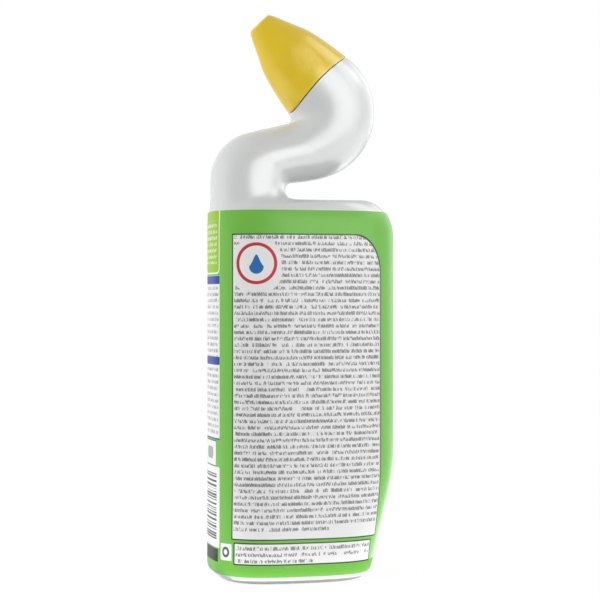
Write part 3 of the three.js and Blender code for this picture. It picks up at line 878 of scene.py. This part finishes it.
# width and height in mm, shift from row to row, and the noise levels that become 0 and 1
CLUSTERS = (1.3, ONE_ROW, 7.31, 0.28, 0.33)
STROKES = (0.56, 2.2, 3.77, 0.42, 0.50)
TALLER = (0.8, ONE_ROW, 5.13, 0.50, 0.56)
DARKER = (11.0, ONE_ROW, 2.91, 0.60, 0.63)


def speckle(row, wide, tall, shift, low, high):
    """Noise in patches of a width and a height, different in each row, pushed to 0 or 1."""
    sideways = add(film, "Math", {0: ROUND, 1: wide}, "DIVIDE")
    upright = add(film, "Math", {0: HEIGHT, 1: tall}, "DIVIDE")
    upright = add(film, "Math", {0: row, 1: shift, 2: upright}, "MULTIPLY_ADD")
    spot = add(film, "CombineXYZ", {"X": sideways, "Y": upright})
    noise = add(film, "TexNoise", {"Vector": spot, "Scale": 1.0, "Detail": 0.0}, noise_dimensions="2D")
    return add(film, "MapRange", {"Value": noise, 1: low, 2: high})


# %% Rows of small strokes
BASELINE = 0.73  # heights in a row are shares of the pitch
SHORT_REACH = 0.46
TALL_REACH = 0.14
ROW_BLUR = (-0.04, 0.05)
DARKER_BY = 0.55
INK_RANGE, INK_LEAST = 0.66, 0.06


def stroke_rows(top, pitch):
    """Rows of strokes that hang down from a height."""
    down = add(film, "Math", {0: top, 1: HEIGHT}, "SUBTRACT")
    rows = add(film, "Math", {0: down, 1: pitch}, "DIVIDE")
    row = add(film, "Math", {0: rows}, "FLOOR")
    in_row = add(film, "Math", {0: rows}, "FRACT")
    over_base = add(film, "Math", {0: BASELINE, 1: in_row}, "SUBTRACT")
    reach = {0: speckle(row, *TALLER), 1: TALL_REACH, 2: SHORT_REACH}
    reach = add(film, "Math", reach, "MULTIPLY_ADD")
    under_top = add(film, "Math", {0: reach, 1: over_base}, "SUBTRACT")
    inside = add(film, "Math", {0: under_top, 1: over_base}, "MINIMUM")
    band = add(film, "MapRange", {"Value": inside, 1: ROW_BLUR[0], 2: ROW_BLUR[1]})
    dark = {0: speckle(row, *DARKER), 1: DARKER_BY, 2: speckle(row, *STROKES)}
    dark = add(film, "Math", dark, "MULTIPLY_ADD")
    dark = add(film, "Math", {0: dark, 1: 1.0}, "MINIMUM")
    ink = add(film, "Math", {0: dark, 1: INK_RANGE, 2: INK_LEAST}, "MULTIPLY_ADD")
    return both(both(speckle(row, *CLUSTERS), band), ink)


ROW_TOP, ROW_PITCH = 161.25, 2.911
strokes = stroke_rows(ROW_TOP, ROW_PITCH)


def row_line(count):
    """The height of the top of a row, counted down from the first."""
    return ROW_TOP - count * ROW_PITCH


# %% [markdown]
# The broad side has one tall white panel with a cut corner, a low one under it, and a small tile. A
# printer lays the ground colour first and the panels over it, and so do these cells. The cut corner
# is a far larger field's corner.

# %% The tall panel
GREEN, INK, PAPER, EDGE = "#75bd4c", "#2c2e2d", "#f0f0f0", "#2c3a26"
LINE_WIDTH = 0.6
PANEL_LOW, PANEL_HIGH = (-40.0, 21.0), (33.2, 161.6)
PANEL_CORNER = 0.3
OPEN_LOW = (-140.0, -100.0)  # so far off that only one corner of the field is in sight
CUT = 14.3
CUT_SQUEEZE = 14.3 / 18.8
inside_low, inside_high = inset(PANEL_LOW, PANEL_HIGH, LINE_WIDTH)
cut_out = field(OPEN_LOW, PANEL_HIGH, CUT, CUT_SQUEEZE)
cut_in = field(OPEN_LOW, inside_high, CUT, CUT_SQUEEZE)
colour = linear(GREEN)
colour = painted(colour, EDGE, both(field(PANEL_LOW, PANEL_HIGH, PANEL_CORNER), cut_out))
colour = painted(colour, PAPER, both(field(inside_low, inside_high, PANEL_CORNER), cut_in))
print("tall panel from", PANEL_LOW, "to", PANEL_HIGH)

# %% The rows in the tall panel
ROWS_LEFT, ROWS_RIGHT = -38.9, 32.3
ROWS_CORNER = 0.2
full_rows = field((ROWS_LEFT, row_line(46)), (ROWS_RIGHT, ROW_TOP), ROWS_CORNER)
last_row = field((ROWS_LEFT, row_line(47)), (6.5, row_line(45)), ROWS_CORNER)
rows_cut = field(OPEN_LOW, (ROWS_RIGHT, ROW_TOP), CUT, CUT_SQUEEZE)
badge_room = field((-39.8, row_line(9)), (-16.4, row_line(1)), 8.0)
clear_room = add(film, "Math", {0: 1.0, 1: badge_room}, "SUBTRACT")
rows_room = both(either(full_rows, last_row), rows_cut)
colour = painted(colour, INK, both(both(strokes, rows_room), clear_room))

# %% The low panel and the tile
LOW_PANEL = ((-38.7, 9.6), (29.6, 19.9))
TILE_WHITE = "#f1f2f1"
colour = painted(colour, EDGE, field(*LOW_PANEL, PANEL_CORNER))
colour = painted(colour, PAPER, field(*inset(*LOW_PANEL, LINE_WIDTH), PANEL_CORNER))
low_rows = either(field((-37.6, row_line(51)), (28.4, 18.6), ROWS_CORNER),
                  field((-37.6, row_line(52)), (-1, 14.0), ROWS_CORNER))
colour = painted(colour, INK, both(strokes, low_rows))
colour = painted(colour, TILE_WHITE, field((-47.5, 11.2), (-39.8, 18.9), 0.4))
colour = painted(colour, "#5d625f", field((-46.1, 12.6), (-41.2, 17.5), 2.4))
colour = painted(colour, TILE_WHITE, field((-44.9, 13.8), (-42.4, 16.3), 1.2))

# %% [markdown]
# A plain round badge stands in the tall panel's top left corner. Its drop is a circle whose upper
# half is stretched and pinched towards the tip.

# %% The round badge
BADGE = (-28.0, 147.9)
BADGE_RADIUS = 9.6
BADGE_RING = 1.5
DROP_SINK = 1.4
DROP_RADIUS = (3.3, 3.5)
DROP_STRETCH = 0.62
DROP_PINCH = 0.28
colour = painted(colour, "#c8383d", disc(BADGE, BADGE_RADIUS))
colour = painted(colour, "#f1f1f0", disc(BADGE, BADGE_RADIUS - BADGE_RING))
over_middle = add(film, "Math", {0: HEIGHT, 1: BADGE[1] - DROP_SINK}, "SUBTRACT")
upper = add(film, "Math", {0: over_middle, 1: 0.0}, "MAXIMUM")
lower = add(film, "Math", {0: over_middle, 1: upper}, "SUBTRACT")
pinch = add(film, "Math", {0: upper, 1: DROP_PINCH, 2: 1.0}, "MULTIPLY_ADD")
beside = add(film, "Math", {0: ROUND, 1: BADGE[0]}, "SUBTRACT")
pinched = add(film, "Math", {0: beside, 1: pinch}, "MULTIPLY")
rise = add(film, "Math", {0: upper, 1: DROP_STRETCH, 2: lower}, "MULTIPLY_ADD")
spot = add(film, "CombineXYZ", {"X": pinched, "Y": rise})
from_drop = add(film, "VectorMath", {0: spot}, "LENGTH", out="Value")
drop = add(film, "MapRange", {"Value": from_drop, 1: DROP_RADIUS[1], 2: DROP_RADIUS[0]})
colour = painted(colour, "#2f6fb5", drop)

# %% [markdown]
# The left narrow side carries a column of small fields. It is seen nearly edge-on, so each field is
# simply as wide to the left of the side's middle as to its right. They are a list, from the first
# one painted to the last.

# %% Fields of the narrow side
LIME, LIME_EDGE, BLUE = "#93c200", "#f3f6ea", "#1d3c98"
BAR_SCALE = 0.95  # bars about a millimetre thick
side_middle = -QUARTER
bars = add(film, "TexNoise", {"W": HEIGHT, "Scale": BAR_SCALE, "Detail": 0.0}, noise_dimensions="1D")
bar = add(film, "MapRange", {"Value": bars, 1: 0.49, 2: 0.53})
SIDE_FIELDS = [
    # what, colour, pattern, half width, from and to height, corner
    ("lime field's edge", LIME_EDGE, None, 14.2, 143.2, 200, 3.0),
    ("lime field", LIME, None, 13.5, 143.9, 200, 2.4),
    ("pale strokes", "#eaf3d6", strokes, 11.5, 148, 168, 0.5),
    ("white field", PAPER, None, 14.2, 66.7, 142.4, 1.2),
    ("grey strokes", "#7f7783", strokes, 13.0, 68.5, 138.0, 0.3),
    ("upper blue band", BLUE, None, 14.2, 138.5, 142.3, 0.5),
    ("lower blue band", BLUE, None, 14.2, 101.0, 104.8, 0.5),
    ("blue line", "#26468f", None, 14.2, 66.3, 67.0, 0.3),
    ("small frame", INK, None, 10.6, 53.8, 65.8, 0.4),
    ("small frame's ground", "#f0f1ef", None, 10.2, 54.2, 65.4, 0.3),
    ("grey pill", "#9fa79c", None, 6.0, 57.0, 62.6, 2.6),
    ("bars' ground", "#f3f4f3", None, 14.2, 16.3, 53.6, 0.8),
    ("bars", INK, bar, 11.0, 19.5, 50.5, 0.2),
    ("dark foot", "#1c1f1d", None, 12.8, 9.7, 15.7, 0.3),
]
for what, ink, pattern, half, low, high, corner in SIDE_FIELDS:
    mask = field((side_middle - half, low), (side_middle + half, high), corner)
    mask = mask if pattern is None else both(pattern, mask)
    colour = painted(colour, ink, mask)
print("fields of the narrow side:", [what for what, *_ in SIDE_FIELDS])

# %% [markdown]
# The far broad side can't be seen from the camera. It gets one large plain field in the narrow
# side's lime, with a pale edge and a blue band.

# %% Fields of the far side
FAR_HALF, FAR_LOW, FAR_HIGH, FAR_CORNER = 37, 21, 160, 12
FAR_EDGE = 0.7
far_middle = -2 * QUARTER
far_low, far_high = (far_middle - FAR_HALF, FAR_LOW), (far_middle + FAR_HALF, FAR_HIGH)
far_field = field(far_low, far_high, FAR_CORNER)
far_band = field((far_middle - 60, 44), (far_middle + 60, 62), 1)
far_edge = field(*inset(far_low, far_high, -FAR_EDGE), FAR_CORNER + FAR_EDGE)
colour = painted(colour, LIME_EDGE, far_edge)
colour = painted(colour, LIME, far_field)
colour = painted(colour, BLUE, both(far_field, far_band))

# %% [markdown]
# Heat never shrinks a film quite evenly, so it keeps a faint, wide ripple, which shows only where a
# lamp is mirrored.

# %% The film's ripple
RIPPLE_SIZE = 22 * MM
film.links.new(colour, film_shader.inputs["Base Color"])
ripple = add(film, "TexNoise", {"Vector": film_place, "Scale": 1 / RIPPLE_SIZE}, out="Fac")
ripple_bump = add(film, "Bump", {"Height": ripple, "Strength": 0.12, "Distance": 0.5 * MM})
film.links.new(ripple_bump, film_shader.inputs["Normal"])
dress(sleeve, film_print)

# %% [markdown]
# The insert shows only when the cap is off. It is moulded from soft polyethylene with no colour
# added, so it is milky: more light sinks in than in the white bottle, and its face is duller.

# %% Soft natural polyethylene
natural, tree, shader, place = finish("soft_natural_polyethylene", Roughness=0.42, IOR=1.51,
                                      Subsurface_Weight=0.25, Subsurface_Scale=0.002)
drifting(tree, shader, cloud(tree, place, 3), "#e6e9e6", "#eff1ef")
dress(nozzle, natural)

# %% [markdown]
# The disc is cut from foamed polyethylene sheet. Its pores are about a third of a millimetre across,
# and cells of a Voronoi pattern stand for them, both as darker middles and as small pits.

# %% Polyethylene foam
PORE_SIZE = 0.35 * MM
foam, tree, shader, place = finish("polyethylene_foam", Roughness=0.8, IOR=1.5)
pores = add(tree, "TexVoronoi", {"Vector": place, "Scale": 1 / PORE_SIZE}, out="Distance")
drifting(tree, shader, pores, "#f2f2ef", "#dddeda")
pore_bump = add(tree, "Bump", {"Height": pores, "Strength": 0.4, "Distance": 0.1 * MM})
tree.links.new(pore_bump, shader.inputs["Normal"])
dress(seal, foam)

# %% [markdown]
# The gel is thickened water with a green dye, so it has nearly water's IOR and a wet, glossy face.
# It is always shut in by the white wall, so a plain opaque green is enough and renders fast.

# %% Clear green gel
green_gel, tree, shader, place = finish("clear_green_gel", Roughness=0.08, IOR=1.34)
drifting(tree, shader, cloud(tree, place, 8), "#1f9a55", "#2fae66")
dress(gel, green_gel)

# %% [markdown]
# The studio's floor is a large sheet of matt paper. The camera, and every mirror-like ray, mostly see
# it as a plain glowing white. A share of the real paper is kept near the bottle, so that the bottle's
# shadow still lies on it, and the glow is a little stronger there to make up for that. To soft,
# diffuse light it is pale grey paper.

# %% The floor
HALF_FLOOR = 3.0
NEAR, FAR = 0.1, 0.6  # metres from the bottle, between which the two below change
WHITE_SHARE = (0.82, 1.0)
GLOW = (1.12, 1.0)
floor_mesh = bpy.data.meshes.new("studio_floor")
corners = [(x * HALF_FLOOR, y * HALF_FLOOR, 0) for x, y in ((-1, -1), (1, -1), (1, 1), (-1, 1))]
floor_mesh.from_pydata(corners, [], [(0, 1, 2, 3)])
floor = placed("studio_floor", floor_mesh)
paper, tree, shader, place = finish("studio_paper", Roughness=0.9)
drifting(tree, shader, cloud(tree, place, 2), "#cacaca", "#d0d0d0")

# %% The floor as it is seen
off_middle = add(tree, "VectorMath", {0: place}, "LENGTH", out="Value")
reach = {"Value": off_middle, 1: NEAR, 2: FAR}
share = add(tree, "MapRange", {**reach, 3: WHITE_SHARE[0], 4: WHITE_SHARE[1]})
glow = add(tree, "MapRange", {**reach, 3: GLOW[0], 4: GLOW[1]})
seen = add(tree, "Math", {0: background(tree), 1: share}, "MULTIPLY")
white = add(tree, "Emission", {"Color": (1, 1, 1, 1), "Strength": glow})
shown = add(tree, "MixShader", {0: seen, 1: shader.outputs[0], 2: white})
tree.links.new(shown, tree.nodes["Material Output"].inputs["Surface"])
dress(floor, paper)

# %% [markdown]
# A photographer lights a glossy white object twice over: lamps for its form, and white cards that
# only show as reflections, for its edges. Blender can hold the two apart: whether a lamp lights and
# whether it is mirrored are switches of their own. None is seen by the camera.

# %% Helper for lamps
AIM_HEIGHT = 0.17


def lamp(name, turn, height, distance, size, radiance, lights=True, mirrored=True, flat=False):
    """A soft lamp at an angle round the bottle, 0 being the camera's own side."""
    data = bpy.data.lights.new(name, "AREA")
    data.shape = "RECTANGLE"
    data.size, data.size_y = size
    data.energy = radiance * math.pi * size[0] * size[1]
    piece = placed(name, data)
    angle = VIEW_TURN - math.radians(turn)
    direction = Vector((-math.sin(angle), -math.cos(angle), 0))
    piece.location = direction * distance + Vector((0, 0, height))
    aim = Vector((0, 0, 1)) if flat else Vector((0, 0, AIM_HEIGHT)) - piece.location
    piece.rotation_euler = aim.to_track_quat("-Z", "Y").to_euler()
    piece.visible_diffuse = lights
    piece.visible_glossy = mirrored
    piece.visible_camera = False
    print(name, "at", piece.location)


# %% [markdown]
# The key in front and to the right gives the form, and the fill opens the left side. The strip on
# the table lights the heel from below. The large card on the right draws the curved border between
# the light and the grey half of the neck, and the others the bright edges of elbow, cap and neck.

# %% The lamps
lamp("key_right", 40, 0.38, 1.3, (1.0, 1.0), 2.15)
lamp("fill_left", -95, 0.35, 1.0, (0.7, 1.0), 3.4, mirrored=False)
lamp("card_right", 45, 0.45, 1.2, (1.75, 1.1), 4.3, lights=False)
lamp("card_side", 118, 0.45, 1.0, (1.3, 0.9), 2.0, lights=False)
lamp("card_top", 94, 0.95, 0.75, (0.7, 0.6), 4.2, lights=False)
lamp("card_low", 85, 0.01, 0.6, (1.2, 1.1), 3.0, lights=False, flat=True)
lamp("card_floor", -95, 0.01, 0.34, (0.5, 0.4), 1.2, lights=False, flat=True)
lamp("light_table", 0, 0.002, 0.032, (0.3, 0.024), 1.1, mirrored=False, flat=True)

# %% [markdown]
# The world around is an even, half-bright white that fills the shadows. The camera and mirrored rays
# see it as full white, so that the floor's far edge doesn't show.

# %% The world
FILL, BACKDROP = 0.50, 1.0
world = bpy.context.scene.world or bpy.data.worlds.new("world")
bpy.context.scene.world = world
world.use_nodes = True
tree = world.node_tree
tree.nodes.clear()
fill = add(tree, "Background", {"Color": (1, 1, 1, 1), "Strength": FILL})
backdrop = add(tree, "Background", {"Color": (1, 1, 1, 1), "Strength": BACKDROP})
sky = add(tree, "MixShader", {0: background(tree), 1: fill, 2: backdrop})
add(tree, "OutputWorld", {"Surface": sky}, out=None)
bpy.context.scene.view_settings.view_transform = "Standard"
print("world:", FILL, "as light,", BACKDROP, "as the background")
